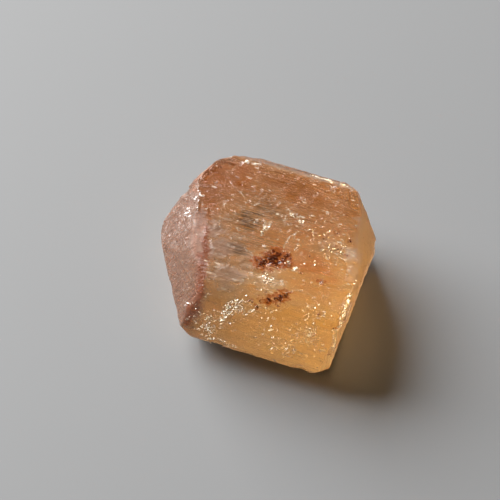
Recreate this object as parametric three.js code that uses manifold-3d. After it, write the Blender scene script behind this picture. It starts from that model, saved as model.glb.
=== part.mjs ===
// A rough imperial topaz: one stubby crystal lying on its side. Its prism is striated along c, low faces
// close it at one end, and at the other it came off its matrix along the basal cleavage. It is one piece
// of mineral, so it is one solid.
//
// Units are millimetres. Everything is placed about the crystal's own c axis, which runs along +X towards
// the cleaved end. An angle called around is measured about c, from +Y towards +Z; one called fromC is the
// angle between a face's normal and c. The finished solid is set down with the origin on the ground, under
// the middle of its bounding box, +Z up.

import * as THREE from "three";
import { mergeVertices } from "three/addons/utils/BufferGeometryUtils.js";
import Module from "manifold-3d";

const wasm = await Module();
wasm.setup();

// ---- Driving dimensions ----

// Topaz's cell in angstroms. Only the ratio matters: it sets the angles between the prism's faces.
const CELL_A = 4.65;
const CELL_B = 8.8;

// The direction of the a axis around c, as the crystal lies.
const A_AXIS = 129.85;

// The prism's faces in order around c, by their first two Miller indices, with their distances from c.
// Wear is how far the edge that each face starts with is rounded along the faces beside it.
const PRISM_FACES = [
  { name: "broadTop", index: [1, 1], distance: 3.35, wear: 1.3 },
  { name: "topBevel", index: [1, 2], distance: 4.7 },
  { name: "backBevel", index: [0, 1], distance: 5.98 },
  { name: "back", index: [-1, 2], distance: 6.1 },
  { name: "backUndercut", index: [-1, 1], distance: 5.85 },
  { name: "underBack", index: [-1, -1], distance: 4.25 },
  { name: "underFront", index: [-1, -2], distance: 4.2 },
  { name: "frontUndercut", index: [0, -1], distance: 6.97 },
  { name: "front", index: [1, -2], distance: 7.0 },
  { name: "frontSlope", index: [1, -1], distance: 5.9 },
];

// The faces that close the two ends, with their distances from the middle of the crystal.
const END_FACES = [
  { name: "leftUpper", end: -1, around: 121, fromC: 44, distance: 6.0 },
  { name: "leftLower", end: -1, around: 139, fromC: 45, distance: 6.2 },
  { name: "leftRidge", end: -1, around: 140, fromC: 53, distance: 6.15 },
  { name: "leftBack", end: -1, around: 20, fromC: 55, distance: 6.97 },
  { name: "leftBackSteep", end: -1, around: 19, fromC: 32, distance: 7.05 },
  { name: "leftBackUndercut", end: -1, around: 315, fromC: 47, distance: 5.6 },
  { name: "leftFrontUndercut", end: -1, around: 231, fromC: 38, distance: 7.0 },
  { name: "leftTopCorner", end: -1, around: 75, fromC: 40, distance: 7.32 },
  { name: "leftFrontCorner", end: -1, around: 206, fromC: 62, distance: 8.2 },
  { name: "rightBreak", end: 1, around: 69, fromC: 27, distance: 7.16 },
  { name: "rightBack", end: 1, around: 12, fromC: 43, distance: 6.9 },
  { name: "rightFrontCorner", end: 1, around: 215, fromC: 59, distance: 8.85 },
];

// The basal cleavage steps back in ledges towards the ground: each lies beyond a line across the end.
const CLEAVAGE_AT = 7.02;
const CLEAVAGE_LEDGES = [
  { at: 6.78, around: 266, beyond: -1.75 },
  { at: 6.62, around: 275, beyond: -0.9 },
  { at: 6.2, around: 262, beyond: 1.2 },
];

// A flat break underneath, that the crystal rests on.
const RESTING_BREAK_BELOW = 3.9;

// Striations: strips along c that lie a little deeper or less deep than their neighbours.
const STRIP_WIDTH = { least: 0.3, most: 1.05 };
const STRIATION_DEPTH = 0.09;
const STRIATION_RISER = 0.035;
const EDGE_WEAR = 0.42;
const EDGE_WEAR_STEPS = 4;

// Growth steps: where a face lies lower beyond a line drawn across it.
const GROWTH_STEPS = [
  { face: "leftUpper", drop: 0.06, direction: [-0.69, 0.1, -0.72], beyond: 2.6 },
  { face: "leftUpper", drop: 0.12, direction: [-0.66, 0.3, -0.69], beyond: 4.5 },
  { face: "leftLower", drop: 0.07, direction: [-0.2, -0.5, -0.84], beyond: 2.2 },
  { face: "leftLower", drop: 0.12, direction: [-0.05, -0.6, -0.8], beyond: 4.4 },
  { face: "leftBack", drop: 0.12, direction: [-0.5, 0.1, -0.86], beyond: 2.4 },
  { face: "rightBreak", drop: 0.13, direction: [0.3, -0.75, -0.6], beyond: 0.9 },
  { face: "broadTop", drop: 0.1, direction: [0.93, 0.36, 0.08], beyond: 5.6 },
];

// Shell-shaped chips on edges and corners. Each faces the way its faces do together.
const CHIPS = [
  { on: ["broadTop", "rightBreak"], at: [6.05, 0.45, 3.5], mouth: 2.2, depth: 0.17, ripples: 3 },
  { on: ["broadTop", "broadTop", "leftUpper"], at: [-4.95, -1.3, 3.02], mouth: 1.2, depth: 0.07, ripples: 1 },
  { on: ["broadTop", "cleavage"], at: [7.08, -2.9, 2.85], mouth: 0.85, depth: 0.32, ripples: 1 },
  { on: ["frontSlope", "cleavage"], at: [6.98, -5.7, 1.6], mouth: 0.85, depth: 0.3, ripples: 1 },
  { on: ["frontSlope", "cleavage"], at: [6.85, -6.3, 0.2], mouth: 0.65, depth: 0.22, ripples: 1 },
  { on: ["front", "cleavage"], at: [6.45, -6.85, -1.3], mouth: 1.15, depth: 0.34, ripples: 2 },
  { on: ["front", "leftLower"], at: [-2.75, -6.87, -0.6], mouth: 0.85, depth: 0.09, ripples: 2 },
  { on: ["front", "frontUndercut"], at: [-1.6, -6.93, -2.2], mouth: 0.5, depth: 0.1, ripples: 1 },
  { on: ["front", "frontUndercut"], at: [0.75, -6.94, -2.3], mouth: 0.4, depth: 0.07, ripples: 1 },
  { on: ["front", "frontUndercut"], at: [4.55, -6.94, -2.25], mouth: 0.55, depth: 0.09, ripples: 1 },
  { on: ["topBevel", "backBevel"], at: [-3.3, 4.34, 4.2], mouth: 0.5, depth: 0.09, ripples: 1 },
  { on: ["topBevel", "backBevel"], at: [0.55, 4.38, 4.18], mouth: 0.4, depth: 0.07, ripples: 1 },
  { on: ["topBevel", "backBevel"], at: [3.05, 4.34, 4.18], mouth: 0.7, depth: 0.12, ripples: 2 },
  { on: ["leftUpper", "leftBack"], at: [-6.98, 1.4, 2.27], mouth: 0.5, depth: 0.09, ripples: 1 },
  { on: ["leftUpper", "leftBack"], at: [-7.85, 0.68, 0.97], mouth: 0.6, depth: 0.12, ripples: 1 },
  { on: ["leftUpper", "leftLower"], at: [-8.33, -0.57, -0.4], mouth: 0.55, depth: 0.12, ripples: 1 },
  { on: ["leftLower", "leftFrontUndercut"], at: [-6.15, -4.35, -1.32], mouth: 0.8, depth: 0.13, ripples: 1 },
  { on: ["back", "rightBack"], at: [4.6, 6.1, 0.2], mouth: 1.3, depth: 0.26, ripples: 3 },
  { on: ["back", "leftBack"], at: [-3.9, 6.12, 0.75], mouth: 0.6, depth: 0.1, ripples: 2 },
  { on: ["backUndercut", "back"], at: [0.8, 6.15, -0.6], mouth: 0.85, depth: 0.13, ripples: 2 },
];

// Small etched and iron-stained pits on the broad faces: where, how wide, how deep.
const PITS = [
  { on: "broadTop", at: [1.1, -2.2], mouth: 0.42, depth: 0.1 },
  { on: "broadTop", at: [0.5, -2.65], mouth: 0.3, depth: 0.07 },
  { on: "broadTop", at: [1.65, -1.75], mouth: 0.24, depth: 0.06 },
  { on: "broadTop", at: [2.25, -2.35], mouth: 0.34, depth: 0.12 },
  { on: "broadTop", at: [0.3, -5.15], mouth: 0.22, depth: 0.05 },
  { on: "broadTop", at: [1.4, -4.95], mouth: 0.2, depth: 0.05 },
  { on: "broadTop", at: [2.45, -4.65], mouth: 0.32, depth: 0.06 },
  { on: "broadTop", at: [4.4, 0.85], mouth: 0.24, depth: 0.12 },
  { on: "broadTop", at: [4.4, -2.85], mouth: 0.2, depth: 0.1 },
  { on: "broadTop", at: [-3.1, 2.25], mouth: 0.22, depth: 0.12 },
  { on: "broadTop", at: [4.35, -0.5], mouth: 0.45, depth: 0.08 },
];

// How finely a bowl is drawn: its rings from the middle out, and its segments around. Each ripple of a
// shell-shaped break adds to both.
const BOWL_RINGS = { plain: 3, eachRipple: 3 };
const BOWL_SEGMENTS = { plain: 8, eachRipple: 4 };
// A bowl is drawn to this many times its rim, and its ripples are this share of its depth.
const BOWL_REACH = 1.5;
const RIPPLE_SHARE = 0.06;

// The size of the blocks that stand for half-spaces, and the length that the prism is drawn to.
const LONG = 40;
// Corners closer together than this are one corner.
const SAME_PLACE = 1e-4;
const RANDOM_SEED = 11;

// ---- Faces ----

function direction(around, fromC, end) {
  const turn = THREE.MathUtils.degToRad(around);
  const lean = THREE.MathUtils.degToRad(fromC);
  return new THREE.Vector3(
    end * Math.cos(lean),
    Math.sin(lean) * Math.cos(turn),
    Math.sin(lean) * Math.sin(turn),
  );
}

function prismNormal([h, k]) {
  const fromA = THREE.MathUtils.radToDeg(Math.atan2(k / CELL_B, h / CELL_A));
  return direction(A_AXIS - fromA, 90, 1);
}

const faces = new Map();
for (const { name, index, distance } of PRISM_FACES)
  faces.set(name, { normal: prismNormal(index), distance });
for (const { name, end, around, fromC, distance } of END_FACES)
  faces.set(name, { normal: direction(around, fromC, end), distance });
faces.set("cleavage", { normal: new THREE.Vector3(1, 0, 0), distance: CLEAVAGE_AT });

// ---- Solids ----

function solidFrom(geometry) {
  const bare = geometry.clone();
  bare.deleteAttribute("normal");
  bare.deleteAttribute("uv");
  const merged = mergeVertices(bare, SAME_PLACE);
  const corners = merged.index.array;
  const triVerts = [];
  for (let i = 0; i < corners.length; i += 3) {
    const [a, b, c] = corners.slice(i, i + 3);
    // The triangles at a lathe's axis have two corners in one place, and are left out.
    if (a !== b && b !== c && c !== a) triVerts.push(a, b, c);
  }
  return new wasm.Manifold(
    new wasm.Mesh({
      numProp: 3,
      vertProperties: merged.attributes.position.array,
      triVerts: new Uint32Array(triVerts),
    }),
  );
}

function geometryFrom(solid) {
  const { vertProperties, triVerts } = solid.getMesh();
  const geometry = new THREE.BufferGeometry();
  geometry.setAttribute("position", new THREE.BufferAttribute(vertProperties, 3));
  geometry.setIndex(new THREE.BufferAttribute(triVerts, 1));
  return geometry;
}

function turnFrom(axis, normal) {
  return new THREE.Quaternion().setFromUnitVectors(axis, normal.clone().normalize());
}

// Everything farther out than distance along normal.
function halfSpace(normal, distance) {
  const block = new THREE.BoxGeometry(LONG, LONG, LONG);
  block.translate(0, 0, distance + LONG / 2);
  block.applyQuaternion(turnFrom(new THREE.Vector3(0, 0, 1), normal));
  return solidFrom(block);
}

// ---- The prism ----

// Where two side faces meet, as a point of the cross-section.
function cornerOf(one, other) {
  const n = one.normal;
  const m = other.normal;
  const cross = n.y * m.z - n.z * m.y;
  return new THREE.Vector2(
    (one.distance * m.z - other.distance * n.z) / cross,
    (n.y * other.distance - m.y * one.distance) / cross,
  );
}

let drawn = 0;
function random() {
  drawn += 1;
  return THREE.MathUtils.seededRandom(RANDOM_SEED + drawn);
}

// Draws one side of the cross-section as strips that step in and out a little.
function drawStriatedSide(outline, start, end) {
  const along = end.clone().sub(start).normalize();
  const length = end.distanceTo(start);
  const inward = new THREE.Vector2(along.y, -along.x);
  const point = (travelled, depth) =>
    start.clone().addScaledVector(along, travelled).addScaledVector(inward, depth);

  let travelled = 0;
  let depth = 0;
  for (;;) {
    travelled += THREE.MathUtils.lerp(STRIP_WIDTH.least, STRIP_WIDTH.most, random());
    if (travelled > length - STRIP_WIDTH.least) break;
    const nextDepth = random() * STRIATION_DEPTH;
    const before = point(travelled - STRIATION_RISER, depth);
    const after = point(travelled + STRIATION_RISER, nextDepth);
    outline.lineTo(before.x, before.y);
    outline.lineTo(after.x, after.y);
    depth = nextDepth;
  }
  outline.lineTo(end.x, end.y);
}

function crossSection() {
  const sides = PRISM_FACES.map(({ name, wear }) => ({ ...faces.get(name), wear }));
  const corners = sides.map((side, i) => cornerOf(side, sides[(i + 1) % sides.length]));
  const outline = new THREE.Shape();
  const wearAt = (i) => sides[(i + 1) % sides.length].wear ?? EDGE_WEAR;
  corners.forEach((corner, i) => {
    const next = corners[(i + 1) % corners.length];
    const third = corner.distanceTo(next) / 3;
    const along = next.clone().sub(corner).normalize();
    const start = corner.clone().addScaledVector(along, Math.min(wearAt(i), third));
    const end = next.clone().addScaledVector(along, -Math.min(wearAt(i + 1), third));
    if (i === 0) outline.moveTo(start.x, start.y);
    else outline.quadraticCurveTo(corner.x, corner.y, start.x, start.y);
    drawStriatedSide(outline, start, end);
  });
  const [first] = corners;
  const [start] = outline.getPoints(1);
  outline.quadraticCurveTo(first.x, first.y, start.x, start.y);
  return outline;
}

function prism() {
  const bar = new THREE.ExtrudeGeometry(crossSection(), {
    depth: LONG,
    curveSegments: EDGE_WEAR_STEPS,
    bevelEnabled: false,
  });
  bar.translate(0, 0, -LONG / 2);
  // The section's x and y become Y and Z, and the bar runs along X.
  const lieDown = new THREE.Matrix4().makeBasis(
    new THREE.Vector3(0, 1, 0),
    new THREE.Vector3(0, 0, 1),
    new THREE.Vector3(1, 0, 0),
  );
  return solidFrom(bar.applyMatrix4(lieDown));
}

// ---- Ends, steps, chips and pits ----

function closeEnds(crystal) {
  let closed = crystal;
  for (const { name } of END_FACES) {
    const { normal, distance } = faces.get(name);
    closed = closed.subtract(halfSpace(normal, distance));
  }
  const c = new THREE.Vector3(1, 0, 0);
  closed = closed.subtract(halfSpace(c, CLEAVAGE_AT));
  for (const { at, around, beyond } of CLEAVAGE_LEDGES) {
    const ledge = halfSpace(c, at).intersect(halfSpace(direction(around, 90, 1), beyond));
    closed = closed.subtract(ledge);
  }
  return closed;
}

function cutGrowthSteps(crystal) {
  let stepped = crystal;
  for (const { face, drop, direction: way, beyond } of GROWTH_STEPS) {
    const { normal, distance } = faces.get(face);
    const beyondLine = halfSpace(new THREE.Vector3(...way), beyond);
    stepped = stepped.subtract(halfSpace(normal, distance - drop).intersect(beyondLine));
  }
  return stepped;
}

// A bowl whose rim, of radius mouth, lies level with the origin, and that opens along +Y. It is drawn
// wider than its rim so that it also clears the shoulders of an edge.
function bowl(mouth, depth, ripples) {
  const rings = BOWL_RINGS.plain + BOWL_RINGS.eachRipple * ripples;
  const segments = BOWL_SEGMENTS.plain + BOWL_SEGMENTS.eachRipple * ripples;
  const profile = [];
  for (let i = 0; i <= rings; i += 1) {
    const r = (BOWL_REACH * i) / rings;
    const ripple = ripples > 1 ? RIPPLE_SHARE * depth * Math.cos(2 * Math.PI * ripples * r) : 0;
    profile.push(new THREE.Vector2(r * mouth, depth * (r * r - 1) + ripple * r));
  }
  profile.push(new THREE.Vector2(0, profile.at(-1).y + depth));
  return new THREE.LatheGeometry(profile, segments);
}

function cutBowl(crystal, at, facing, geometry) {
  geometry.applyQuaternion(turnFrom(new THREE.Vector3(0, 1, 0), facing));
  geometry.translate(at.x, at.y, at.z);
  return crystal.subtract(solidFrom(geometry));
}

function cutChips(crystal) {
  let chipped = crystal;
  for (const { on, at, mouth, depth, ripples } of CHIPS) {
    const facing = new THREE.Vector3();
    for (const name of on) facing.add(faces.get(name).normal);
    chipped = cutBowl(chipped, new THREE.Vector3(...at), facing, bowl(mouth, depth, ripples));
  }
  return chipped;
}

function cutPits(crystal) {
  let pitted = crystal;
  for (const { on, at, mouth, depth } of PITS) {
    const { normal, distance } = faces.get(on);
    const [x, y] = at;
    const centre = new THREE.Vector3(x, y, (distance - normal.y * y) / normal.z);
    pitted = cutBowl(pitted, centre, normal, bowl(mouth, depth, 0));
  }
  return pitted;
}

// ---- The specimen ----

let crystal = closeEnds(prism());
crystal = cutGrowthSteps(crystal);
crystal = cutChips(crystal);
crystal = cutPits(crystal);
crystal = crystal.subtract(halfSpace(new THREE.Vector3(0, 0, -1), RESTING_BREAK_BELOW));

const shape = geometryFrom(crystal).toNonIndexed();
shape.computeBoundingBox();
const middle = shape.boundingBox.getCenter(new THREE.Vector3());
shape.translate(-middle.x, -middle.y, RESTING_BREAK_BELOW);
shape.computeVertexNormals();

const topaz = new THREE.Mesh(
  shape,
  new THREE.MeshStandardMaterial({ color: 0xc08a5a, roughness: 0.3, metalness: 0 }),
);
topaz.name = "topaz_crystal";

const specimen = new THREE.Group();
specimen.add(topaz);

export default specimen;
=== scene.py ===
"""A rough imperial topaz crystal, lying on a pale floor under one broad soft light.

The crystal's surface is worked in millimetres, in the CAD model's own frame, whose origin is under the
middle of the stone. The CAD solid is remeshed finely, its edges are worn, and striations, etched scales and
small facets are pressed into it. The bruises, painted white partly as real bruises and partly as glints of
light, the feathery flakes and the iron-stained grains are meshes of their own, set in its skin.
"""

import math

import bmesh
import bpy
import numpy as np
from mathutils import Matrix, Vector
from mathutils.bvhtree import BVHTree


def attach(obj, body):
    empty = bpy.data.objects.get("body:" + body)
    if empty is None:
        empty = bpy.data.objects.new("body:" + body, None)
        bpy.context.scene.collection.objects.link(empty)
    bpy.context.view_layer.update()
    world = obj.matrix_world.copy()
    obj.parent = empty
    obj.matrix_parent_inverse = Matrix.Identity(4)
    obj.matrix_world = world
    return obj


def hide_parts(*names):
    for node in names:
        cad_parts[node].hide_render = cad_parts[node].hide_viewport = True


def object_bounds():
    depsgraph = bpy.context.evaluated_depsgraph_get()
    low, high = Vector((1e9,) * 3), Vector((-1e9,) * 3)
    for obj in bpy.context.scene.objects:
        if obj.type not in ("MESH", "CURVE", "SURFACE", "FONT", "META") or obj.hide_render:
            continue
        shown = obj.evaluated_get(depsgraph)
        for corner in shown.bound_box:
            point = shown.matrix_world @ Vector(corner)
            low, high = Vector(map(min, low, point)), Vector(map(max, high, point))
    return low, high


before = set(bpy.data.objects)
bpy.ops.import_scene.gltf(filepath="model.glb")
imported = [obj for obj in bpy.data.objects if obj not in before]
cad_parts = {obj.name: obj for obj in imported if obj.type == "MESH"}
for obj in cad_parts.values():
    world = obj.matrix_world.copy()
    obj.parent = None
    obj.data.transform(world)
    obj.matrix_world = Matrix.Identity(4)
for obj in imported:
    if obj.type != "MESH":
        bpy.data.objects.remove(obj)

CAD_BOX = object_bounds()
MM = 0.001

# ---- Sizes, in millimetres ----

WELD_GAP = 0.0005
VOXEL = 0.08
SKIN_INSET = 0.05
# The relief worked into the skin: its depth, and how long its lumps are along X, Y and Z.
STRIATION_DEPTH = 0.012
STRIATION_LUMPS = (7.0, 0.42, 0.42)
FINE_STRIATION_DEPTH = 0.010
FINE_STRIATION_LUMPS = (2.5, 0.16, 0.16)
SCALE_DEPTH = 0.022
SCALE_LUMPS = (0.9, 0.45, 0.7)
FACET_DEPTH = 0.030
FACET_LUMPS = (0.75, 0.45, 0.45)
SMALL_FACET_DEPTH = 0.016
SMALL_FACET_LUMPS = (0.3, 0.22, 0.22)
CHIP_DEPTH = 0.08
CHIP_LUMPS = 0.5
SWELL_DEPTH = 0.035
SWELL_LUMPS = 2.2
# An edge counts in full where it stands this far out of the broad form.
EDGE_HEIGHT = 0.05
# The lengths of the small flakes on the skin: the shortest, and how much longer the longest are.
FLAKE_LENGTHS = (0.04, 0.20)
FEATHER_LENGTHS = (0.06, 0.26)
# How far the flakes of a feather lie sunk in the skin, from the least to the most.
FEATHER_SUNK = (-0.04, 0.03)
# A healed crack is a row of splinters about this far apart.
CRACK_STEP = 0.16

# ---- Rounds of smoothing ----

SMOOTH_ROUNDS = 2
ROUNDED_EDGE_ROUNDS = 40
BROAD_NORMAL_ROUNDS = 6
BROAD_FORM_ROUNDS = 8

# ---- View and light ----
# Angles are in degrees. The picture's width and the aim, from the middle of the stone, are in millimetres.

VIEW_AZIMUTH = 19.4
VIEW_ELEVATION = 57.0
LENS = 150.0
SENSOR = 36.0
PICTURE_WIDTH = 35.0
AIM_LEFT = 0.82
AIM_UP = 0.30

# The lamp is a broad disk to the left of the view and behind the stone. Its distance and size are in metres.
LAMP_DISTANCE = 0.4
LAMP_SIZE = 0.46
LAMP_POWER = 5.1
LAMP_ELEVATION = 30.0
LAMP_LEFT = 0.72
LAMP_AWAY = 0.695
ROOM_LIGHT = 0.10
ROOM_COLOUR = (1.0, 0.76, 0.52)
FLOOR_SIZE = 1.2
FLOOR_COLOUR = (0.290, 0.297, 0.305)
FLOOR_ROUGHNESS = 0.7
# A clear stone needs many bounces of light.
CLEAR_BOUNCES = 24
DIFFUSE_BOUNCES = 8

# ---- The stone's optics ----

TOPAZ_IOR = 1.62
# Open cleavage flakes shine more than the stone does, because of the air under them.
FEATHER_IOR = 2.2
ABSORPTION_COLOUR = (0.975, 0.70, 0.0)
ABSORPTION_DENSITY = 85.0
# How much of the light is scattered at the stone's undercut faces and at its rough base.
UNDERCUT_HAZE = 0.25
BASE_HAZE = 0.60

# ---- Marks on the stone ----
# Each is given by X and Y in the frame, and lies on the skin below that place. Sizes are in millimetres.

# Milky patches: middle, half lengths along X and across it, strength.
MILKY = [
    ((-3.1, -0.9), (0.9, 0.9), 0.9),
    ((-2.3, -2.2), (1.3, 1.2), 0.9),
    ((-1.3, -3.6), (1.3, 1.1), 0.9),
    ((-0.4, -2.8), (0.9, 0.8), 0.7),
    ((1.7, -3.3), (1.0, 0.9), 0.5),
    ((4.6, 0.2), (0.9, 0.7), 0.4),
    ((3.4, 5.2), (2.4, 0.6), 0.5),
    ((-1.0, -4.9), (1.5, 0.7), 0.4),
]
# Pale crackled patches.
CRACKLED = [
    ((5.3, 0.3), (1.5, 1.2), 0.9),
    ((4.0, 1.7), (1.5, 0.8), 0.6),
    ((1.65, -3.2), (0.9, 0.9), 0.7),
    ((3.5, -0.2), (1.1, 1.0), 0.5),
    ((5.8, -3.4), (1.4, 1.2), 0.2),
    ((5.4, 1.6), (0.5, 1.2), 0.4),
    ((2.2, 4.9), (3.6, 0.5), 0.6),
    ((-2.3, 4.5), (0.7, 0.3), 0.9),
    ((-5.5, 0.4), (0.5, 0.7), 0.8),
]
# Painted shade: dark streaks, painted where the eye looks down through the clear stone into shade.
SHADE_SEEN_DOWN_PATCHES = [
    ((-1.0, 0.6), (1.1, 0.8), 1.0),
    ((-0.95, -1.6), (0.7, 0.7), 1.0),
    ((-0.3, 1.6), (1.3, 0.6), 0.8),
    ((0.2, -1.0), (1.2, 0.5), 0.6),
    ((1.1, 1.3), (1.8, 0.8), 0.6),
    ((-0.6, 2.4), (1.8, 0.6), 0.5),
]
# Where the right end is painted pale, a painted glow of the light that comes out through the stone, and
# where the stone is a deep clear orange.
PALE_GLOW_PATCHES = [((6.9, 1.9), (0.75, 2.6), 1.0)]
DEEP_ORANGE = [
    ((-4.2, 2.7), (1.4, 1.2), 1.0),
    ((-2.9, 3.1), (1.2, 1.0), 0.9),
    ((0.6, 2.9), (3.6, 1.3), 0.5),
    ((3.0, 1.9), (2.4, 1.6), 0.4),
    ((4.2, -1.4), (1.8, 0.8), 0.8),
    ((4.9, -3.2), (1.8, 1.0), 0.3),
    ((-4.1, 0.3), (0.6, 1.3), 0.8),
]
# A reddish brown band down the edge between the left end and the front, and a fainter wisp above it:
# routes with half widths.
RED_BAND = [
    ([(-3.1, -3.2), (-2.9, -4.3), (-2.75, -5.1), (-2.9, -5.6), (-3.15, -5.95), (-3.2, -6.2)], 0.55),
    ([(-3.75, -1.0), (-3.4, -2.1), (-3.1, -2.8)], 0.28),
]
# The worn, dull upper edge of the left end.
DULLED = [([(-4.45, -0.1), (-4.2, -0.9), (-4.2, -1.6), (-4.15, -2.2), (-3.85, -2.9)], 0.40)]
# Where the stone's edges are worn round: routes with half widths.
ROUNDED_EDGES = [
    ([(-4.1, -2.3), (-3.3, -3.4), (-2.7, -4.6), (-2.7, -5.4), (-3.3, -6.2)], 0.8),
    ([(-2.3, -1.7), (-1.2, -1.7)], 0.5),
    ([(-1.0, -4.2), (0.6, -4.4), (2.6, -3.9), (3.6, -3.7), (4.6, -3.6), (6.0, -3.4)], 0.6),
    ([(6.1, -0.3), (6.3, 0.9), (6.3, 2.0)], 1.2),
    ([(6.1, 3.6), (5.6, 2.4), (5.5, 1.3), (5.9, 0.2), (6.6, -0.7), (7.3, -1.6)], 0.6),
]
# Iron-stained grains: middle and radius.
RUST_GRAINS = [
    ((0.76, -2.28), 0.20), ((1.02, -2.02), 0.17), ((1.36, -1.64), 0.26), ((1.66, -1.34), 0.22),
    ((1.29, -1.22), 0.16), ((1.88, -1.78), 0.22), ((2.25, -1.25), 0.18), ((1.54, -1.98), 0.22),
    ((0.75, -4.89), 0.08), ((1.00, -4.91), 0.07), ((1.49, -4.74), 0.10), ((1.40, -5.06), 0.11),
    ((2.10, -4.52), 0.15), ((2.44, -4.34), 0.12), ((2.76, -4.24), 0.19), ((3.06, -3.97), 0.15),
    ((2.80, -4.72), 0.07), ((1.76, -4.12), 0.07), ((-2.48, 2.73), 0.09), ((-2.70, 2.86), 0.06),
    ((5.02, 1.32), 0.09), ((6.06, 1.03), 0.10), ((6.16, -0.02), 0.07), ((5.06, -2.36), 0.10),
    ((3.55, -2.16), 0.08), ((5.64, -4.49), 0.08), ((6.84, -4.97), 0.08), ((4.24, 0.63), 0.07),
    ((3.74, -0.82), 0.07), ((5.44, 0.23), 0.08),
]
# Bright bruises and painted glints: middle and the size of the patch. Their splinters are white, partly as
# real bruises and partly as glints of light.
GLINTING_BRUISES = [
    ((2.52, -1.72), 0.24), ((3.03, -1.94), 0.28), ((0.58, -2.17), 0.10), ((2.03, 1.78), 0.22),
    ((-0.89, -0.49), 0.14), ((-4.07, 2.40), 0.20), ((-2.70, 1.49), 0.14), ((-2.31, 1.30), 0.12),
    ((-2.61, 4.48), 0.26), ((-1.71, 4.60), 0.20), ((0.53, 4.58), 0.16), ((2.18, 5.13), 0.20),
    ((3.73, 4.51), 0.16), ((-5.24, 0.91), 0.22), ((-5.82, 0.37), 0.26), ((-6.04, 1.40), 0.16),
    ((4.13, -5.82), 0.18), ((4.39, -6.12), 0.26), ((5.44, -5.47), 0.30), ((5.04, -2.52), 0.16),
    ((-1.76, -6.17), 0.30), ((-1.46, -6.47), 0.24), ((5.76, -4.32), 0.12), ((3.19, -4.67), 0.14),
]
# Pale healed cracks: the places that each passes through, and its width.
CRACKS = [
    ([(0.38, 0.66), (0.36, 0.20)], 0.11),
    ([(0.05, 0.62), (0.10, 0.10), (0.14, -0.32)], 0.09),
    ([(2.29, 0.46), (1.96, 0.03), (1.80, -0.54), (1.94, -1.08)], 0.07),
    ([(2.64, 0.18), (2.76, -0.44), (2.34, -1.02)], 0.05),
    ([(1.09, 2.00), (1.48, 1.88), (1.94, 1.68)], 0.05),
    ([(1.14, 1.94), (1.26, 1.38), (1.34, 0.94)], 0.05),
    ([(-1.28, 1.36), (-0.77, 1.85)], 0.05),
    ([(-3.63, 2.84), (-2.91, 2.46), (-2.26, 2.12), (-1.62, 1.74)], 0.035),
    ([(-0.56, -1.68), (-0.06, -1.94), (0.44, -1.76), (0.86, -1.22)], 0.04),
    ([(0.24, -2.84), (0.74, -2.64), (1.44, -2.52), (2.14, -2.28)], 0.05),
    ([(0.12, -3.52), (-0.16, -3.87), (-0.48, -3.94)], 0.05),
    ([(3.04, -3.78), (3.54, -3.47), (4.04, -3.32)], 0.05),
]
# The number of small flakes scattered over the whole skin.
FLAKES = 480
# The flakes in the feathery patches lie along one cleavage that leans to the left, and catch the light
# together.
FEATHER_FACING = (-0.41, -0.10, 0.90)
# Feathery patches: middle, half length, half width, turn from X in degrees, number of flakes.
FEATHERS = [
    ((-0.25, -5.42), 0.95, 0.42, 30, 420),
    ((0.75, -5.30), 0.70, 0.25, 10, 50),
    ((5.20, 0.10), 0.90, 0.60, 20, 32),
    ((4.70, 1.20), 0.80, 0.40, 10, 18),
    ((3.40, 0.90), 0.60, 0.40, 10, 14),
    ((4.20, -1.30), 0.90, 0.45, 10, 14),
    ((1.49, -3.22), 0.75, 0.55, 60, 40),
    ((3.60, -6.00), 2.40, 0.35, 3, 160),
    ((4.30, -6.15), 0.35, 0.25, 0, 40),
    ((5.45, -5.45), 0.40, 0.30, 30, 40),
    ((5.20, -5.50), 1.40, 0.60, 10, 150),
    ((5.20, -4.60), 1.30, 0.80, 20, 60),
    ((2.00, -5.20), 1.80, 0.60, 5, 70),
    ((-1.65, -6.10), 0.45, 0.60, 70, 200),
    ((-2.60, -6.00), 0.60, 0.60, 0, 40),
    ((2.74, 5.45), 1.60, 0.35, -15, 60),
    ((7.25, -3.70), 2.00, 0.12, 90, 120),
    ((7.15, -5.50), 0.50, 0.15, 110, 50),
    ((-0.90, -6.55), 1.80, 0.10, 0, 90),
    ((-5.60, 0.20), 0.35, 0.60, 60, 34),
    ((-5.10, 1.10), 0.30, 0.45, 60, 16),
    ((-3.60, -5.40), 0.25, 0.25, 0, 7),
    ((-2.67, 4.50), 0.16, 0.10, 0, 16),
    ((-1.90, 4.48), 0.22, 0.08, 0, 14),
    ((1.60, 1.60), 0.35, 0.12, -45, 16),
    ((2.30, 1.35), 0.20, 0.15, 0, 10),
    ((0.10, 0.15), 0.45, 0.07, 80, 22),
    ((0.36, 0.42), 0.25, 0.05, 85, 12),
    ((2.47, -1.67), 0.16, 0.14, 0, 14),
    ((3.05, -1.95), 0.20, 0.14, 20, 18),
]
# Among them stand some broader flakes, this many times the size.
BROAD_SIZE = 2.1
BROAD_FEATHERS = [
    ((-0.28, -5.35), 0.60, 0.30, 30, 16),
    ((-0.91, -5.70), 0.40, 0.30, 30, 7),
    ((4.10, -6.10), 0.40, 0.16, 0, 9),
    ((5.50, -5.50), 0.45, 0.20, 60, 7),
    ((4.50, -5.75), 0.50, 0.20, 20, 4),
    ((2.80, -5.70), 0.70, 0.30, 10, 5),
    ((6.30, -5.70), 0.50, 0.20, 0, 4),
]


def to_mm(point):
    return np.array(point, float) / MM


LOW, HIGH = (to_mm(corner) for corner in CAD_BOX)
CENTRE = (LOW + HIGH) / 2


# ---- Noise ----

def hash_lattice(cell, seed):
    """A number from 0 to 1 for each whole-number lattice point."""
    x, y, z = (cell[:, i].astype(np.int64) for i in range(3))
    h = (x * 374761393 + y * 668265263 + z * 1274126177 + seed * 974711) & 0xFFFFFFFF
    h = ((h ^ (h >> 13)) * 1103515245) & 0xFFFFFFFF
    h = ((h ^ (h >> 16)) * 668265263) & 0xFFFFFFFF
    return ((h ^ (h >> 15)) & 0xFFFFFF) / float(0xFFFFFF)


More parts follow.
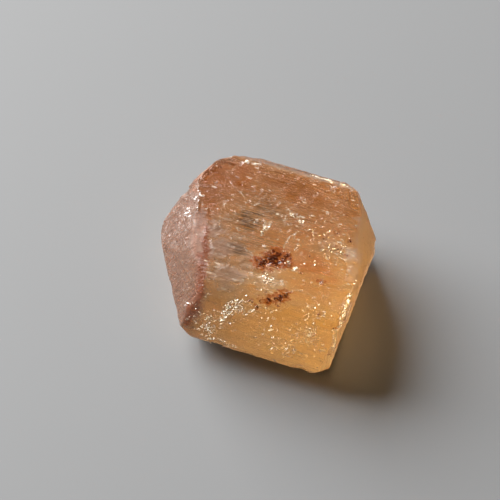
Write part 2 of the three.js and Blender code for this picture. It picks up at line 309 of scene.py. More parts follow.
def value_noise(points, scale, seed):
    """Smooth noise from -1 to 1 whose lumps are about scale apart. scale may differ along X, Y and Z."""
    p = points / np.asarray(scale, float)
    cell = np.floor(p)
    t = p - cell
    t = t * t * (3 - 2 * t)
    total = np.zeros(len(p))
    for corner in range(8):
        step = np.array([corner & 1, (corner >> 1) & 1, (corner >> 2) & 1])
        weight = np.prod(np.where(step, t, 1 - t), axis=1)
        total += weight * hash_lattice(cell + step, seed)
    return 2 * total - 1


def layered_noise(points, scale, seed, layers=3):
    """Value noise with finer and weaker layers added."""
    total = np.zeros(len(points))
    size = np.asarray(scale, float)
    share = 1.0
    for layer in range(layers):
        total += share * value_noise(points, size, seed + 17 * layer)
        size = size / 2.1
        share *= 0.5
    return total


def facet_noise(points, scale, seed):
    """Small tilted facets, one for each cell of a jittered lattice: the height runs about from -1 to 1."""
    p = points / np.asarray(scale, float)
    base = np.floor(p)
    nearest = np.full(len(p), np.inf)
    height = np.zeros(len(p))
    for corner in range(27):
        step = np.array([corner % 3 - 1, (corner // 3) % 3 - 1, corner // 9 - 1])
        cell = base + step
        jitter = np.stack([hash_lattice(cell, seed + k) for k in range(3)], axis=1)
        offset = p - (cell + jitter)
        distance = np.sum(offset * offset, axis=1)
        tilt = np.stack([hash_lattice(cell, seed + 3 + k) for k in range(3)], axis=1) * 2 - 1
        here = np.sum(offset * tilt, axis=1)
        closer = distance < nearest
        nearest = np.where(closer, distance, nearest)
        height = np.where(closer, here, height)
    return height


# ---- The crystal's surface ----

def remeshed(source):
    """The CAD node as a fine even mesh in millimetres."""
    mesh = source.data.copy()
    mesh.transform(Matrix.Scale(1 / MM, 4))
    piece = bpy.data.objects.new("topaz", mesh)
    bpy.context.scene.collection.objects.link(piece)
    weld = piece.modifiers.new("weld", "WELD")
    weld.merge_threshold = WELD_GAP
    remesh = piece.modifiers.new("remesh", "REMESH")
    remesh.mode = "VOXEL"
    remesh.voxel_size = VOXEL
    smooth = piece.modifiers.new("wear", "SMOOTH")
    smooth.factor = 0.5
    smooth.iterations = SMOOTH_ROUNDS
    depsgraph = bpy.context.evaluated_depsgraph_get()
    fine = bpy.data.meshes.new_from_object(piece.evaluated_get(depsgraph))
    piece.modifiers.clear()
    piece.data = fine
    return piece


def vertex_arrays(mesh):
    """The mesh's points and its normals there."""
    points = np.zeros(len(mesh.vertices) * 3, np.float32)
    mesh.vertices.foreach_get("co", points)
    normals = np.zeros(len(mesh.vertices) * 3, np.float32)
    mesh.vertex_normals.foreach_get("vector", normals)
    return points.reshape(-1, 3).astype(float), normals.reshape(-1, 3).astype(float)


def smoothed_field(mesh, values, rounds):
    """A value at each vertex, averaged with its neighbours' along the mesh's edges."""
    edges = np.zeros(len(mesh.edges) * 2, np.int32)
    mesh.edges.foreach_get("vertices", edges)
    a, b = edges.reshape(-1, 2).T
    values = np.array(values, float)
    count = np.bincount(a, minlength=len(values)) + np.bincount(b, minlength=len(values)) + 1
    for _ in range(rounds):
        total = values.copy()
        for k in range(values.shape[1]):
            total[:, k] += np.bincount(a, weights=values[b, k], minlength=len(values))
            total[:, k] += np.bincount(b, weights=values[a, k], minlength=len(values))
        values = total / count[:, None]
    return values


def patches(points, skin, marks, softness):
    """How far each point lies inside soft-edged patches on the skin."""
    total = np.zeros(len(points))
    ragged = 0.45 * layered_noise(points, (1.2, 0.4, 0.4), 81)
    for (x, y), (half_along, half_across), strength in marks:
        away = points - skin.onto(x, y)
        far = np.hypot(away[:, 0] / half_along, np.hypot(away[:, 1], away[:, 2]) / half_across) + ragged
        total = np.maximum(total, strength * np.clip((1 - far) / softness + 0.5, 0, 1))
    return total


def lines(points, skin, marks):
    """How near each point lies to narrow routes over the skin."""
    total = np.zeros(len(points))
    ragged = 0.4 * layered_noise(points, (0.5, 0.5, 0.5), 87)
    for route, width in marks:
        stops = [skin.onto(*place) for place in route]
        for start, end in zip(stops, stops[1:]):
            way = end - start
            share = np.clip((points - start) @ way / (way @ way), 0, 1)
            far = np.linalg.norm(points - start - share[:, None] * way, axis=1)
            total = np.maximum(total, np.clip(1.5 - far / width + ragged, 0, 1))
    return total


def add_field(mesh, name, values):
    """Keeps a value from 0 to 1 at each vertex, for the material."""
    field = mesh.attributes.new(name, "FLOAT", "POINT")
    field.data.foreach_set("value", np.clip(values, 0, 1).astype(np.float32))


def worked_surface(piece):
    """Rounds, chips and etches the crystal's skin, and keeps the fields that its material reads."""
    mesh = piece.data
    skin = Skin(mesh)
    points = skin.points
    rounding = lines(points, skin, ROUNDED_EDGES)
    points = points + rounding[:, None] * (smoothed_field(mesh, points, ROUNDED_EDGE_ROUNDS) - points)
    mesh.vertices.foreach_set("co", points.astype(np.float32).ravel())
    mesh.update()
    points, normals = vertex_arrays(mesh)
    broad_normals = smoothed_field(mesh, normals, BROAD_NORMAL_ROUNDS)
    broad_normals /= np.linalg.norm(broad_normals, axis=1)[:, None]
    # The prism's faces run along X. The end faces look more or less along it.
    on_prism = np.clip(1.6 - 2.6 * np.abs(broad_normals[:, 0]), 0, 1)
    on_end = 1 - on_prism
    # How far each point stands out of the stone's broad form: edges stand out, hollows lie below it.
    broad = smoothed_field(mesh, points, BROAD_FORM_ROUNDS)
    stands_out = np.sum((points - broad) * normals, axis=1)
    edge = np.clip(stands_out / EDGE_HEIGHT, 0, 1)
    depth = np.zeros(len(points))
    # Striations run along c, which is X: long lumps that are narrow across it.
    depth += on_prism * STRIATION_DEPTH * layered_noise(points, STRIATION_LUMPS, 3)
    depth += on_prism * FINE_STRIATION_DEPTH * layered_noise(points, FINE_STRIATION_LUMPS, 9, 2)
    # Etched scales on the end faces, small facets except on the rounded edges, and chipped edges.
    depth += on_end * SCALE_DEPTH * layered_noise(points, SCALE_LUMPS, 21)
    crisp = 1 - 0.8 * rounding
    depth += crisp * FACET_DEPTH * facet_noise(points, FACET_LUMPS, 51)
    depth += crisp * SMALL_FACET_DEPTH * facet_noise(points, SMALL_FACET_LUMPS, 61)
    depth -= edge * CHIP_DEPTH * np.clip(value_noise(points, CHIP_LUMPS, 71), 0, 1)
    depth += SWELL_DEPTH * value_noise(points, SWELL_LUMPS, 31)
    depth -= SKIN_INSET
    moved = points + normals * depth[:, None]
    moved = np.clip(moved, LOW, HIGH)
    mesh.vertices.foreach_set("co", moved.astype(np.float32).ravel())
    mesh.update()
    stains = [(place, (3.2 * radius, 2.6 * radius), min(1.0, 4.0 * radius)) for place, radius in RUST_GRAINS]
    fields = {
        "end_face": on_end,
        "edge": edge,
        "undercut": -broad_normals[:, 2] * 2.0,
        "base": -broad_normals[:, 2] * 8.0 - 6.4,
        "right_face": broad_normals[:, 0] * 3.0 - 0.6,
        "milky": patches(points, skin, MILKY, 1.2),
        "crackled": patches(points, skin, CRACKLED, 1.2),
        "painted_shade_patch": patches(points, skin, SHADE_SEEN_DOWN_PATCHES, 1.0),
        "painted_pale_glow": patches(points, skin, PALE_GLOW_PATCHES, 0.8),
        "deep_orange": patches(points, skin, DEEP_ORANGE, 1.0),
        "stain": patches(points, skin, stains, 1.0),
        "band": lines(points, skin, RED_BAND),
        "crack": lines(points, skin, CRACKS),
        "dull": lines(points, skin, DULLED),
    }
    for name, values in fields.items():
        add_field(mesh, name, values)
    mesh.polygons.foreach_set("use_smooth", np.ones(len(mesh.polygons), bool))
    return piece


class Skin:
    """The crystal's surface, in millimetres, to set marks into."""

    def __init__(self, mesh):
        mesh.calc_loop_triangles()
        self.points, _ = vertex_arrays(mesh)
        corners = np.zeros(len(mesh.loop_triangles) * 3, np.int32)
        mesh.loop_triangles.foreach_get("vertices", corners)
        self.corners = corners.reshape(-1, 3)
        self.tree = BVHTree.FromPolygons(self.points.tolist(), self.corners.tolist())
        a, b, c = (self.points[self.corners[:, k]] for k in range(3))
        cross = np.cross(b - a, c - a)
        self.area = np.linalg.norm(cross, axis=1) / 2
        self.normals = cross / (2 * self.area[:, None] + 1e-12)

    def below(self, x, y):
        """The stone's surface straight below a place over it, and its outward normal there."""
        sky = Vector((x, y, HIGH[2] + 1.0))
        hit, normal, _, _ = self.tree.ray_cast(sky, Vector((0, 0, -1)))
        if hit is None:
            return None
        if normal.z < 0:
            normal = -normal
        return np.array(hit), np.array(normal)

    def onto(self, x, y):
        """The place on the skin below, brought in from past the outline if need be."""
        for share in np.linspace(1.0, 0.9, 21):
            found = self.below(x * share, y * share)
            if found is not None:
                return found[0]
        raise ValueError("a mark lies off the stone")

    def scatter(self, count, rng, weight):
        """Random places on the surface with their normals, more of them where weight is high."""
        share = self.area * weight(self.points[self.corners].mean(axis=1), self.normals)
        pick = rng.choice(len(share), size=count, p=share / share.sum())
        mix = rng.dirichlet((1, 1, 1), size=count)
        places = np.einsum("nk,nkd->nd", mix, self.points[self.corners[pick]])
        return places, self.normals[pick]


# ---- Shards and grains ----

def unit(vectors):
    """Each row at length 1."""
    return vectors / np.maximum(np.linalg.norm(vectors, axis=1), 1e-9)[:, None]


def tangents(normals, rng, spread):
    """A direction along each surface: that of X there, turned by a random angle of about spread degrees."""
    along = np.array([1.0, 0.0, 0.0]) + 0.01 * rng.normal(size=normals.shape)
    along = unit(along - normals * np.sum(along * normals, axis=1)[:, None])
    across = np.cross(normals, along)
    turn = np.radians(rng.normal(0, spread, size=len(normals)))[:, None]
    return along * np.cos(turn) + across * np.sin(turn)


class Shards:
    """Thin closed splinters, gathered up and then joined in one mesh."""

    RING = 6

    def __init__(self, seed):
        self.rng = np.random.default_rng(seed)
        self.points = []
        self.faces = []
        self.count = 0

    def add(self, places, normals, along, lengths, widths, thickness):
        """One splinter at each place: a ragged ring of points between a top and a bottom point."""
        n = len(places)
        along = unit(along)
        normals = unit(normals - along * np.sum(normals * along, axis=1)[:, None])
        across = np.cross(normals, along)
        angle = (np.arange(self.RING) + self.rng.uniform(-0.3, 0.3, (n, self.RING))) * math.tau / self.RING
        reach = self.rng.uniform(0.55, 1.0, (n, self.RING))
        ring = places[:, None, :]
        ring = ring + (np.cos(angle) * reach * lengths[:, None] / 2)[..., None] * along[:, None, :]
        ring = ring + (np.sin(angle) * reach * widths[:, None] / 2)[..., None] * across[:, None, :]
        tilt = self.rng.uniform(-0.25, 0.25, (n, 2))
        middle = places + along * (tilt[:, :1] * lengths[:, None]) + across * (tilt[:, 1:] * widths[:, None])
        top = middle + normals * thickness[:, None] / 2
        bottom = middle - normals * thickness[:, None] / 2
        points = np.concatenate([ring, top[:, None, :], bottom[:, None, :]], axis=1)
        self.points.append(np.clip(points.reshape(-1, 3), LOW, HIGH))
        around = np.arange(self.RING)
        after = (around + 1) % self.RING
        upper = np.stack([around, after, np.full(self.RING, self.RING)], axis=1)
        lower = np.stack([after, around, np.full(self.RING, self.RING + 1)], axis=1)
        one = np.concatenate([upper, lower])
        starts = self.count + np.arange(n) * (self.RING + 2)
        self.faces.append((one[None] + starts[:, None, None]).reshape(-1, 3))
        self.count += n * (self.RING + 2)

    def build(self, name, material):
        return joined_piece(name, np.concatenate(self.points), np.concatenate(self.faces), material)


def joined_piece(name, points, faces, material):
    """A piece of many small closed meshes, from points in millimetres."""
    mesh = bpy.data.meshes.new(name)
    mesh.from_pydata((points * MM).tolist(), [], faces.tolist())
    mesh.materials.append(material)
    piece = bpy.data.objects.new(name, mesh)
    bpy.context.scene.collection.objects.link(piece)
    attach(piece, "root")
    return piece


def add_bruises_and_glints(skin):
    """Bright bruises, healed cracks and small flakes, all low in the skin, white partly as real bruising and
    partly as painted glints.
    """
    shards = Shards(11)
    rng = shards.rng

    def set_in(places, normals, lengths, spread, lift):
        """Flakes that lie nearly along the skin, sunk by half their thickness less the lift's share."""
        along = tangents(normals, rng, spread)
        leaning = unit(normals + rng.normal(0, 0.25, normals.shape))
        widths = lengths * rng.uniform(0.25, 0.6, len(lengths))
        thickness = np.minimum(0.05, 0.35 * widths)
        sunk = places - normals * (0.5 - lift) * thickness[:, None]
        shards.add(sunk, leaning, along, lengths, widths, thickness)

    for (x, y), size in GLINTING_BRUISES:
        count = 4 + int(size * 20)
        spots = np.array([x, y]) + rng.normal(0, 0.45 * size, (count, 2))
        found = [hit for hit in (skin.below(*spot) for spot in spots) if hit]
        if found:
            places = np.array([hit[0] for hit in found])
            normals = np.array([hit[1] for hit in found])
            set_in(places, normals, rng.uniform(0.35, 0.9, len(found)) * size, 35, 0.45)
    for route, width in CRACKS:
        for start, end in zip(route, route[1:]):
            start, end = np.array(start), np.array(end)
            length = np.linalg.norm(end - start)
            steps = max(2, int(length / CRACK_STEP))
            shares = (np.arange(steps) + rng.uniform(0.2, 0.8, steps)) / steps
            spots = start + shares[:, None] * (end - start) + rng.normal(0, 0.25 * width, (steps, 2))
            for spot in spots[rng.random(steps) < 0.6]:
                place, normal = skin.below(*spot)
                way = np.array([[*(end - start), 0.0]])
                way = unit(way - normal * np.sum(way * normal))
                size = np.array([length / steps * rng.uniform(0.6, 1.4)])
                thick = np.array([min(0.06, 0.5 * width)])
                sunk = np.array([place - normal * 0.1 * thick[0]])
                shards.add(sunk, normal[None], way, size, np.array([width]), thick)

    def often(points, normals):
        """More flakes low on the right of the front, and on top, than elsewhere."""
        lower_right = np.clip((points[:, 0] * 0.5 - points[:, 1]) / 6.0, 0, 1) * (normals[:, 2] > 0)
        return 0.08 + 1.2 * lower_right**2 + 0.5 * (normals[:, 2] > 0.2) * (normals[:, 0] > -0.4)

    places, normals = skin.scatter(FLAKES, rng, often)
    normals = unit(normals + np.array([0.0, 0.0, 0.8]))
    shortest, longer = FLAKE_LENGTHS
    set_in(places, normals, shortest + longer * rng.power(0.6, FLAKES), 35, 0.42)
    return shards.build("bruises_and_glints", bruise_and_glint_material())


def add_feathers(skin):
    """Patches of thin flakes that all look nearly the same way, so they glint together."""
    shards = Shards(23)
    rng = shards.rng
    shortest, longer = FEATHER_LENGTHS
    groups = [(*group, 1.0) for group in FEATHERS]
    groups += [(*group, BROAD_SIZE) for group in BROAD_FEATHERS]
    for (x, y), half_length, half_width, turn, count, scale in groups:
        swing = math.radians(turn)
        spots = rng.normal(0, 0.45, (count, 2)) * (half_length, half_width)
        spots = spots @ np.array([[math.cos(swing), math.sin(swing)], [-math.sin(swing), math.cos(swing)]])
        found = [hit for hit in (skin.below(x + sx, y + sy) for sx, sy in spots) if hit]
        places = np.array([hit[0] for hit in found])
        normals = np.array([hit[1] for hit in found])
        n = len(found)
        lengths = (shortest + longer * rng.power(0.6, n)) * scale
        widths = lengths * rng.uniform(0.2, 0.6, n)
        facing = unit(np.array(FEATHER_FACING) + 0.18 * rng.normal(size=(n, 3)))
        along = tangents(facing, rng, 50)
        sunk = rng.uniform(*FEATHER_SUNK, n)[:, None]
        shards.add(places - normals * sunk, facing, along, lengths, widths, 0.3 * widths / scale)
    return shards.build("feathers", feather_material())


def lump(rng, radius, seed):
    """An uneven closed lump as points and faces."""
    mesh = bpy.data.meshes.new("lump")
    bm = bmesh.new()
    bmesh.ops.create_icosphere(bm, subdivisions=2, radius=1.0)
    bm.to_mesh(mesh)
    bm.free()
    points, _ = vertex_arrays(mesh)
    faces = np.array([list(p.vertices) for p in mesh.polygons])
    bpy.data.meshes.remove(mesh)
    points *= (1 + 0.35 * layered_noise(points + seed * 3.1, 0.8, 5))[:, None]
    return points * radius, faces


def add_rust(skin):
    """Iron-stained grains: flat lumps half sunk in the skin, each with smaller ones round it."""
    rng = np.random.default_rng(37)
    all_points, all_faces = [], []
    count = 0
    for index, ((x, y), radius) in enumerate(RUST_GRAINS):
        bits = 2 + int(radius * 30)
        for bit in range(bits):
            size = radius * (0.75 if bit == 0 else rng.uniform(0.2, 0.5))
            away = 0.0 if bit == 0 else radius * rng.uniform(0.6, 1.4)
            turn = rng.uniform(0, math.tau)
            found = skin.below(x + away * math.cos(turn), y + 0.7 * away * math.sin(turn))
            if not found:
                continue
            place, normal = found
            points, faces = lump(rng, size, index * 7 + bit)
            along = unit(tangents(normal[None], rng, 40))[0]
            across = np.cross(normal, along)
            flat = 0.35
            shaped = points[:, :1] * along + points[:, 1:2] * across * 0.7 + points[:, 2:] * normal * flat
            sunk = place - normal * size * flat * 0.55
            all_points.append(np.clip(shaped + sunk, LOW, HIGH))
            all_faces.append(faces + count)
            count += len(points)
    points, faces = np.concatenate(all_points), np.concatenate(all_faces)
    return joined_piece("iron_stains", points, faces, rust_material())


# ---- Materials ----

class Nodes:
    """Short names for the few kinds of node that the materials use."""

    def __init__(self, name):
        self.material = bpy.data.materials.new(name)
        self.material.use_nodes = True
        self.tree = self.material.node_tree
        self.tree.nodes.clear()
        self.out = self.tree.nodes.new("ShaderNodeOutputMaterial")
        self.shader = self.tree.nodes.new("ShaderNodeBsdfPrincipled")
        self.tree.links.new(self.shader.outputs["BSDF"], self.out.inputs["Surface"])
        self.place = self.new("ShaderNodeTexCoord").outputs["Object"]

    def new(self, kind):
        return self.tree.nodes.new(kind)

    def feed(self, socket, value):
        """Links another node's output to the socket, or sets the socket to a plain value."""
        if isinstance(value, bpy.types.NodeSocket):
            self.tree.links.new(value, socket)
        else:
            socket.default_value = value

    def set(self, **values):
        """Sets the shader's sockets, whose names are written here with _ for a space."""
        for name, value in values.items():
            self.feed(self.shader.inputs[name.replace("_", " ")], value)

    def vector(self, operation, a, b):
        node = self.new("ShaderNodeVectorMath")
        node.operation = operation
        self.feed(node.inputs[0], a)
        self.feed(node.inputs[1], b)
        return node.outputs["Value"] if operation == "DOT_PRODUCT" else node.outputs["Vector"]

    def scaled(self, sizes):
        """The place in the stone, in lumps of these sizes in millimetres."""
        return self.vector("MULTIPLY", self.place, [1 / (size * MM) for size in sizes])

    def noise(self, sizes, detail):
        """Soft noise from 0 to 1 in lumps of these sizes."""
        node = self.new("ShaderNodeTexNoise")
        self.feed(node.inputs["Vector"], self.scaled(sizes))
        node.inputs["Scale"].default_value = 1.0
        node.inputs["Detail"].default_value = detail
        node.inputs["Roughness"].default_value = 0.55
        return node.outputs["Fac"]

    def facets(self, sizes):
        """The height of small tilted facets, one for each cell."""
        node = self.new("ShaderNodeTexVoronoi")
        where = self.scaled(sizes)
        self.feed(node.inputs["Vector"], where)
        node.inputs["Scale"].default_value = 1.0
        tilt = self.vector("SUBTRACT", node.outputs["Color"], (0.5, 0.5, 0.5))
        return self.vector("DOT_PRODUCT", self.vector("SUBTRACT", where, node.outputs["Position"]), tilt)

    def flakes(self, sizes, share):
        """1 on a small share of flat cells, and 0 on the rest."""
        node = self.new("ShaderNodeTexVoronoi")
        self.feed(node.inputs["Vector"], self.scaled(sizes))
        node.inputs["Scale"].default_value = 1.0
        split = self.new("ShaderNodeSeparateColor")
        self.feed(split.inputs[0], node.outputs["Color"])
        return self.between(split.outputs[0], 1 - share - 0.005, 1 - share + 0.005)

    def network(self, sizes, width):
        """1 along the edges between cells, and 0 inside them."""
        node = self.new("ShaderNodeTexVoronoi")
        node.feature = "DISTANCE_TO_EDGE"
        self.feed(node.inputs["Vector"], self.scaled(sizes))
        node.inputs["Scale"].default_value = 1.0
        return self.between(node.outputs["Distance"], width, 0.0)

    def strokes(self, along, facing, length, width):
        """Noise drawn out along a direction over a face that looks the other way given."""
        along = Vector(along).normalized()
        across = Vector(facing).normalized().cross(along).normalized()
        node = self.new("ShaderNodeCombineXYZ")
        self.feed(node.inputs[0], self.vector("DOT_PRODUCT", self.place, along / (length * MM)))
        self.feed(node.inputs[1], self.vector("DOT_PRODUCT", self.place, across / (width * MM)))
        noise = self.new("ShaderNodeTexNoise")
        self.feed(noise.inputs["Vector"], node.outputs[0])
        noise.inputs["Scale"].default_value = 1.0
        noise.inputs["Detail"].default_value = 2.0
        return noise.outputs["Fac"]

    def field(self, name):
        """A value kept at the crystal's vertices."""
        node = self.new("ShaderNodeAttribute")
        node.attribute_name = name
        return node.outputs["Fac"]

    def math(self, operation, a, b, clamp=False):
        node = self.new("ShaderNodeMath")
        node.operation = operation
        node.use_clamp = clamp
        self.feed(node.inputs[0], a)
        self.feed(node.inputs[1], b)
        return node.outputs[0]

    def sum(self, *terms):
        total = terms[0]
        for term in terms[1:]:
            total = self.math("ADD", total, term)
        return total

    def opposite(self, value):
        """1 where the value is 0, and 0 where it is 1."""
        return self.math("SUBTRACT", 1.0, value, clamp=True)

    def times(self, a, b):
        return self.math("MULTIPLY", a, b)

    def larger(self, a, b):
        return self.math("MAXIMUM", a, b)

    def between(self, value, low, high):
        """0 where the value is below low, 1 above high, and smooth between."""
        node = self.new("ShaderNodeMapRange")
        node.interpolation_type = "SMOOTHSTEP"
        self.feed(node.inputs["Value"], value)
        node.inputs["From Min"].default_value = low
        node.inputs["From Max"].default_value = high
        return node.outputs["Result"]

    def along(self, direction, low, high):
        """0 to 1 along a direction, between two distances in millimetres from the stone's middle."""
        way = Vector(direction).normalized()
        middle = float(way.dot(Vector(CENTRE)))
        return self.between(self.vector("DOT_PRODUCT", self.place, way / MM), middle + low, middle + high)

    def mix(self, share, a, b):
        """The colour a, replaced by b for this share."""
        node = self.new("ShaderNodeMix")
        node.data_type = "RGBA"
        self.feed(node.inputs[0], share)
        self.feed(node.inputs[6], a)
        self.feed(node.inputs[7], b)
        return node.outputs[2]

    def bump(self, height, distance, strength, normal=None):
        node = self.new("ShaderNodeBump")
        node.inputs["Strength"].default_value = strength
        node.inputs["Distance"].default_value = distance * MM
        self.feed(node.inputs["Height"], height)
        if normal is not None:
            self.feed(node.inputs["Normal"], normal)
        return node.outputs["Normal"]

    def absorb(self, colour, density):
        """Colours the light by how far it goes through the stone."""
        volume = self.new("ShaderNodeVolumeAbsorption")
        volume.inputs["Color"].default_value = colour
        volume.inputs["Density"].default_value = density
        self.tree.links.new(volume.outputs["Volume"], self.out.inputs["Volume"])


def rgb(red, green, blue):
    return (red, green, blue, 1.0)


def painted_gold_glow(n):
    """0 to 1 towards the front right, where the stone is painted golden: a painted glow of the light that
    comes out there through the stone.
    """
    return n.along((0.5, -0.85, 0), 0.5, 5.5)


def topaz_material():
    n = Nodes("imperial_topaz")
    end, right_face, edge = (n.field(name) for name in ("end_face", "right_face", "edge"))
    undercut, base, milky, crackled = (n.field(name) for name in ("undercut", "base", "milky", "crackled"))
    painted_shade_patch, stain, band, crack = (n.field(name) for name in ("painted_shade_patch", "stain", "band", "crack"))
    deep_orange, dull = (n.field(name) for name in ("deep_orange", "dull"))
    painted_glow_strip = n.larger(right_face, n.field("painted_pale_glow"))
    above = n.opposite(undercut)
    on_end = n.times(end, n.opposite(right_face))
    cloud = n.noise((2.5, 0.8, 0.8), 4.0)
    mottle = n.noise((0.9, 0.5, 0.5), 4.0)
    fine = n.noise((0.5, 0.14, 0.14), 4.0)
    grit = n.noise((0.20, 0.14, 0.14), 3.0)
    streak = n.noise((2.2, 0.10, 0.10), 3.0)
    # Colour zones: rose towards the left end, orange-brown behind, and a lighter painted golden glow towards
    # the front right, for the light that comes out there through the stone.
    rose = n.along((-1, -0.1, 0), 2.5, 5.5)
    colour = n.mix(painted_gold_glow(n), rgb(0.97, 0.58, 0.30), rgb(1.0, 0.82, 0.48))
    colour = n.mix(rose, colour, rgb(0.60, 0.37, 0.30))
    # Painted shade: the end faces are painted darker towards the bottom, where they turn away from the
    # light.
    colour = n.mix(n.times(n.along((0, 0, -1), -6.5, -3.5), on_end), colour, rgb(0.46, 0.27, 0.20))
    colour = n.mix(deep_orange, colour, rgb(0.80, 0.28, 0.07))
    # Painted glow: the shaded right end is painted nearly white, for the light that comes out there through
    # the stone.
    colour = n.mix(n.times(painted_glow_strip, 0.9), colour, rgb(1.0, 0.96, 0.92))
    tint = n.mix(n.between(mottle, 0.35, 0.65), rgb(0.19, 0.10, 0.075), rgb(0.28, 0.155, 0.12))
    colour = n.mix(n.times(milky, 0.85), colour, tint)
    # The edges are painted paler: partly worn edges, and partly a painted highlight along them.
    colour = n.mix(n.times(edge, 0.3), colour, rgb(0.90, 0.70, 0.58))
    colour = n.mix(n.times(undercut, 0.8), colour, rgb(1.0, 0.72, 0.47))
    colour = n.mix(base, colour, rgb(1.0, 0.96, 0.88))
    # Reddish strokes down the etched end, and a reddish brown band beside its edge.
    down_end = n.between(n.strokes((-0.54, -0.26, -0.80), (-0.72, -0.36, 0.60), 1.3, 0.11), 0.53, 0.62)
    down_end = n.times(n.times(down_end, on_end), above)
    colour = n.mix(n.times(down_end, 0.6), colour, rgb(0.36, 0.14, 0.08))
    colour = n.mix(n.times(dull, 0.9), colour, rgb(0.36, 0.17, 0.11))
    colour = n.mix(n.times(band, 0.95), colour, rgb(0.26, 0.065, 0.02))
    # Painted shade: dark streaks along c, painted where the eye looks through the clear skin down into
    # shade.
    painted_shade_streaks = n.times(painted_shade_patch, n.between(streak, 0.32, 0.56))
    colour = n.mix(painted_shade_streaks, colour, rgb(0.13, 0.055, 0.010))
    # Pale flakes all over, partly real bruises and partly painted glints of light, more of them in the
    # crackled patches, whose cracks show as a net.
    # They are fewer in the milky patches and on the left end.
    broken = n.math("ADD", crackled, 0.04, clamp=True)
    flake = n.larger(n.flakes((0.30, 0.11, 0.11), 0.010), n.flakes((0.14, 0.07, 0.07), 0.008))
    many = n.larger(n.flakes((0.22, 0.14, 0.14), 0.12), n.times(n.network((0.55, 0.40, 0.40), 0.05), 0.6))
    pale = n.larger(flake, n.times(many, n.times(broken, n.between(grit, 0.35, 0.60))))
    pale = n.larger(pale, n.times(n.times(crack, n.between(grit, 0.42, 0.56)), 0.8))
    calm = n.larger(n.times(milky, 0.7), n.times(on_end, 0.6))
    pale = n.times(n.times(pale, above), n.opposite(calm))
    colour = n.mix(n.times(pale, 0.85), colour, rgb(1.0, 0.88, 0.70))
    # Iron stains: a ragged orange-brown halo round a nearly black heart.
    wobble = n.math("SUBTRACT", n.noise((0.24, 0.16, 0.16), 4.0), 0.5)
    halo = n.between(n.sum(stain, n.times(wobble, 1.6)), 0.20, 0.60)
    heart = n.between(n.sum(stain, n.times(wobble, 2.4)), 0.75, 1.0)
    colour = n.mix(halo, colour, rgb(0.46, 0.11, 0.012))
    colour = n.mix(heart, colour, rgb(0.10, 0.020, 0.006))
    along_c = n.between(streak, 0.54, 0.66)
    # The haze is the share of the light that the skin scatters: the rest goes through.
    haze = n.sum(
        n.times(n.between(cloud, 0.35, 0.75), 0.10),
        n.times(on_end, 0.24),
        n.times(edge, 0.06),
        n.times(milky, 0.45),
        n.times(crackled, 0.08),
        n.times(halo, 0.08),
        n.times(heart, 0.3),
        n.times(band, 0.45),
        n.times(dull, 0.20),
        n.times(painted_shade_streaks, 0.50),
        n.times(pale, 0.42),
        n.times(n.times(n.opposite(end), along_c), n.times(n.opposite(milky), 0.15)),
        n.times(undercut, UNDERCUT_HAZE),
        n.times(base, BASE_HAZE),
    )
    roughness = n.sum(
        n.times(fine, 0.16),
        n.times(on_end, 0.15),
        n.times(painted_glow_strip, 0.75),
        n.times(painted_shade_patch, 0.10),
        n.times(dull, 0.50),
        n.times(milky, 0.25),
        n.times(edge, 0.15),
        n.times(undercut, 0.40),
        0.03,
    )
    ridges = n.bump(n.noise((4.0, 0.09, 0.09), 3.0), 0.05, 0.6)
    etched = n.bump(n.times(on_end, n.opposite(down_end)), 0.05, 0.8, ridges)
    chipped = n.bump(n.facets((0.45, 0.20, 0.20)), 0.06, 0.5, etched)
    grain = n.bump(n.times(n.facets((0.16, 0.10, 0.10)), n.opposite(end)), 0.03, 0.5, chipped)
    n.set(
        Base_Color=colour,
        Roughness=roughness,
        IOR=TOPAZ_IOR,
        Transmission_Weight=n.opposite(haze),
        Normal=grain,
    )
    n.absorb(rgb(*ABSORPTION_COLOUR), ABSORPTION_DENSITY)
    return n.material


def bruise_and_glint_material():
    n = Nodes("bruised_and_glinting_topaz")
    tone = n.noise((0.5, 0.3, 0.3), 3.0)
    # Painted glints: the splinters are nearly white, partly as real bruising and partly for glints of light.
    white = n.mix(tone, rgb(1.0, 0.80, 0.64), rgb(1.0, 0.93, 0.86))
    n.set(
        # Painted glow: golden towards the front right, for the light through the stone.
        Base_Color=n.mix(n.times(painted_gold_glow(n), 0.9), white, rgb(1.0, 0.84, 0.46)),
        Roughness=n.sum(n.times(tone, 0.2), 0.12),
        IOR=TOPAZ_IOR,
        Transmission_Weight=0.35,
        Normal=n.bump(n.noise((0.08, 0.05, 0.05), 2.0), 0.02, 0.4),
    )
    return n.material


def feather_material():
    n = Nodes("feathered_topaz")
    tone = n.noise((0.7, 0.5, 0.5), 3.0)
    pale = n.mix(tone, rgb(1.0, 0.84, 0.52), rgb(1.0, 0.92, 0.72))
    pale = n.mix(n.along((-1, 0, 0), 2.5, 4.0), pale, rgb(1.0, 0.90, 0.86))
    n.set(
        # Painted glow: golden towards the right, for the light that comes through the stone.
        Base_Color=n.mix(n.along((1, 0, 0), 1.5, 4.0), pale, rgb(1.0, 0.76, 0.34)),
        Roughness=n.sum(n.times(tone, 0.2), 0.10),
        IOR=FEATHER_IOR,
        Transmission_Weight=0.0,
        Normal=n.bump(n.noise((0.08, 0.05, 0.05), 2.0), 0.02, 0.4),
    )
    return n.material


def rust_material():
    n = Nodes("iron_oxide")
    tone = n.noise((0.25, 0.18, 0.18), 4.0)
    n.set(
        Base_Color=n.mix(n.between(tone, 0.3, 0.7), rgb(0.04, 0.007, 0.002), rgb(0.15, 0.028, 0.006)),
        Roughness=n.sum(n.times(tone, 0.3), 0.6),
        Specular_IOR_Level=0.05,
        Normal=n.bump(n.noise((0.06, 0.05, 0.05), 3.0), 0.03, 0.6),
    )
    return n.material


def floor_material():
    n = Nodes("floor")
    n.set(Base_Color=rgb(*FLOOR_COLOUR), Roughness=FLOOR_ROUGHNESS)
    return n.material


# ---- The stage ----

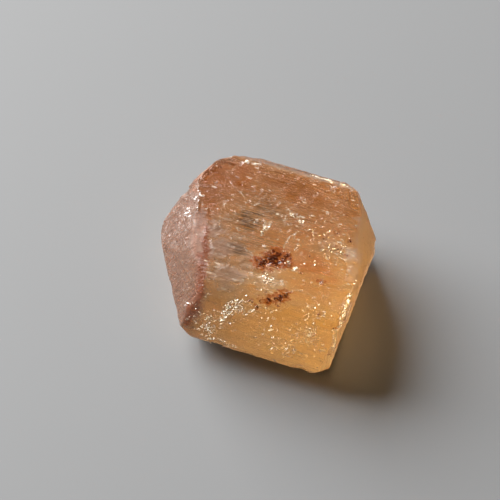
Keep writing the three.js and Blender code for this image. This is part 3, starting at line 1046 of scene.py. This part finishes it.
def view_axes():
    """The picture's right, its up, and the way from the stone back to the camera."""
    a = math.radians(VIEW_AZIMUTH)
    e = math.radians(VIEW_ELEVATION)
    right = Vector((math.cos(a), math.sin(a), 0))
    back = Vector((math.sin(a) * math.cos(e), -math.cos(a) * math.cos(e), math.sin(e)))
    return right, back.cross(right), back


def add_floor():
    bpy.ops.mesh.primitive_plane_add(size=FLOOR_SIZE)
    floor = bpy.context.object
    floor.name = "floor"
    floor.data.materials.append(floor_material())


def add_camera():
    right, up, back = view_axes()
    aim = Vector(CENTRE * MM) - right * AIM_LEFT * MM + up * AIM_UP * MM
    distance = PICTURE_WIDTH * MM * LENS / SENSOR
    data = bpy.data.cameras.new("camera")
    data.lens = LENS
    data.sensor_width = SENSOR
    data.clip_start = 0.001
    camera = bpy.data.objects.new("camera", data)
    bpy.context.scene.collection.objects.link(camera)
    turn = Matrix((right, up, back)).transposed().to_4x4()
    camera.matrix_world = Matrix.Translation(aim + back * distance) @ turn
    bpy.context.scene.camera = camera


def add_light():
    right, _, back = view_axes()
    away = Vector((-back.x, -back.y, 0)).normalized()
    elevation = math.radians(LAMP_ELEVATION)
    level = (away * LAMP_AWAY - right * LAMP_LEFT).normalized()
    towards = level * math.cos(elevation) + Vector((0, 0, 1)) * math.sin(elevation)
    data = bpy.data.lights.new("lamp", "AREA")
    data.shape = "DISK"
    data.size = LAMP_SIZE
    data.energy = LAMP_POWER
    lamp = bpy.data.objects.new("lamp", data)
    bpy.context.scene.collection.objects.link(lamp)
    lamp.location = towards * LAMP_DISTANCE
    lamp.rotation_euler = towards.to_track_quat("Z", "Y").to_euler()
    world = bpy.data.worlds.new("room")
    world.use_nodes = True
    room = world.node_tree.nodes["Background"]
    room.inputs["Color"].default_value = rgb(*ROOM_COLOUR)
    room.inputs["Strength"].default_value = ROOM_LIGHT
    bpy.context.scene.world = world


# ---- The scene ----

crystal = worked_surface(remeshed(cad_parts["topaz_crystal"]))
skin = Skin(crystal.data)
add_bruises_and_glints(skin)
add_feathers(skin)
add_rust(skin)
crystal.data.transform(Matrix.Scale(MM, 4))
crystal.data.materials.clear()
crystal.data.materials.append(topaz_material())
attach(crystal, "root")
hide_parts("topaz_crystal")
add_floor()
add_camera()
add_light()
bpy.context.scene.view_settings.view_transform = "Standard"
paths = bpy.context.scene.cycles
paths.max_bounces = CLEAR_BOUNCES
paths.glossy_bounces = CLEAR_BOUNCES
paths.transmission_bounces = CLEAR_BOUNCES
paths.diffuse_bounces = DIFFUSE_BOUNCES
